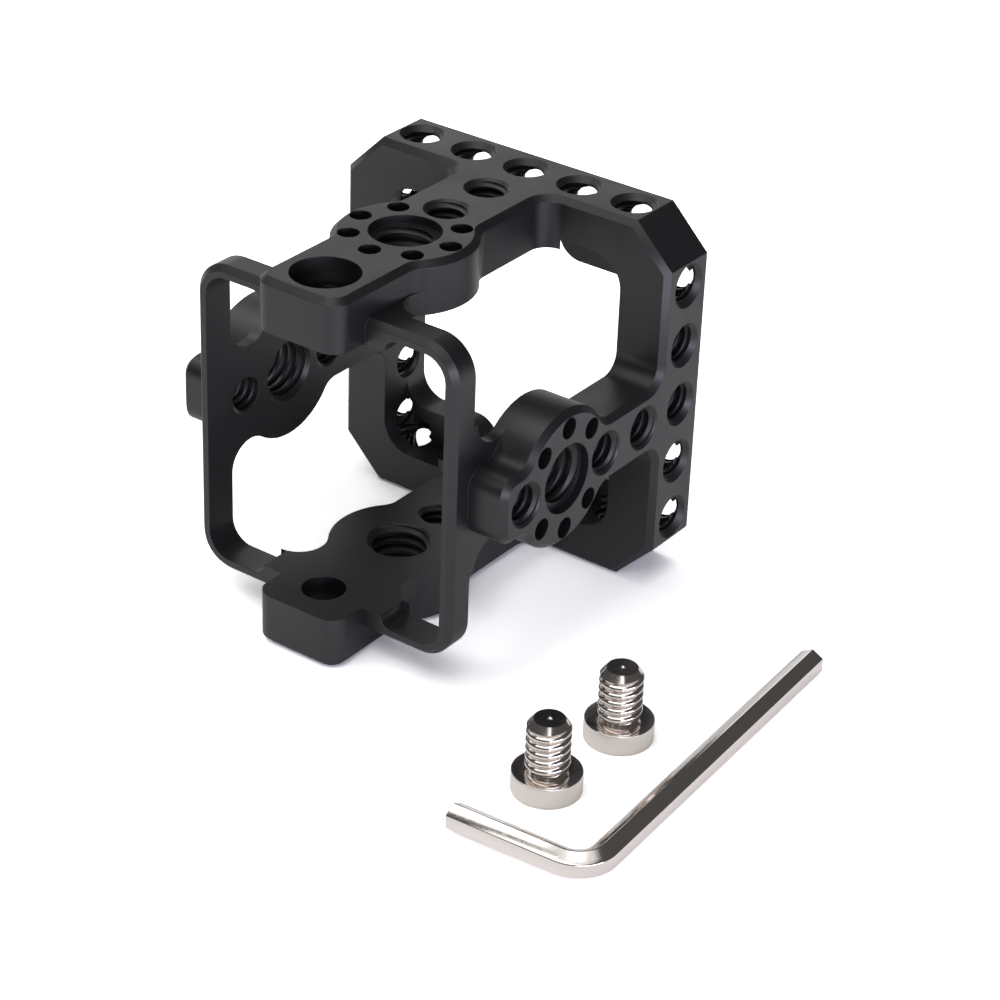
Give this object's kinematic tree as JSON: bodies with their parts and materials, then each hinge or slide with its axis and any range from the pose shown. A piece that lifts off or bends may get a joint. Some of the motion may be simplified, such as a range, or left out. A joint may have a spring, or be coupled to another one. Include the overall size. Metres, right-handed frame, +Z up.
{
  "type": "camera cage",
  "caption": "Square camera cage milled from a black billet, with threaded ring, bossed arms and a thin front frame, beside its cap screws and a hex key.",
  "frame": {"origin": "centre of the large hole in the bottom boss, on the bottom face that touches the table", "axes": "+Z up, +X towards the side with the screws and the key, +Y from the front tabs to the rear ring"},
  "size_m": [0.094, 0.0777, 0.058],
  "materials": {
    "anodised_aluminium": "bead-blasted, black anodised",
    "bright_steel": "bright nickel-plated steel"
  },
  "bodies": {
    "cage": {"rear_ring": "anodised_aluminium", "top_arm": "anodised_aluminium", "bottom_arm": "anodised_aluminium", "left_arm": "anodised_aluminium", "right_arm": "anodised_aluminium", "left_frame_rail": "anodised_aluminium", "right_frame_rail": "anodised_aluminium"},
    "screw_1": {"mounting_screw_1": "bright_steel"},
    "screw_2": {"mounting_screw_2": "bright_steel"},
    "key": {"hex_key": "bright_steel"}
  },
  "joints": [
    {"name": "screw_1_pick_up", "type": "slide", "parent": "cage", "child": "screw_1", "axis": [0, 0, 1], "range_m": [0, 0.03]},
    {"name": "screw_2_pick_up", "type": "slide", "parent": "cage", "child": "screw_2", "axis": [0, 0, 1], "range_m": [0, 0.03]},
    {"name": "key_pick_up", "type": "slide", "parent": "cage", "child": "key", "axis": [0, 0, 1], "range_m": [0, 0.03]}
  ]
}
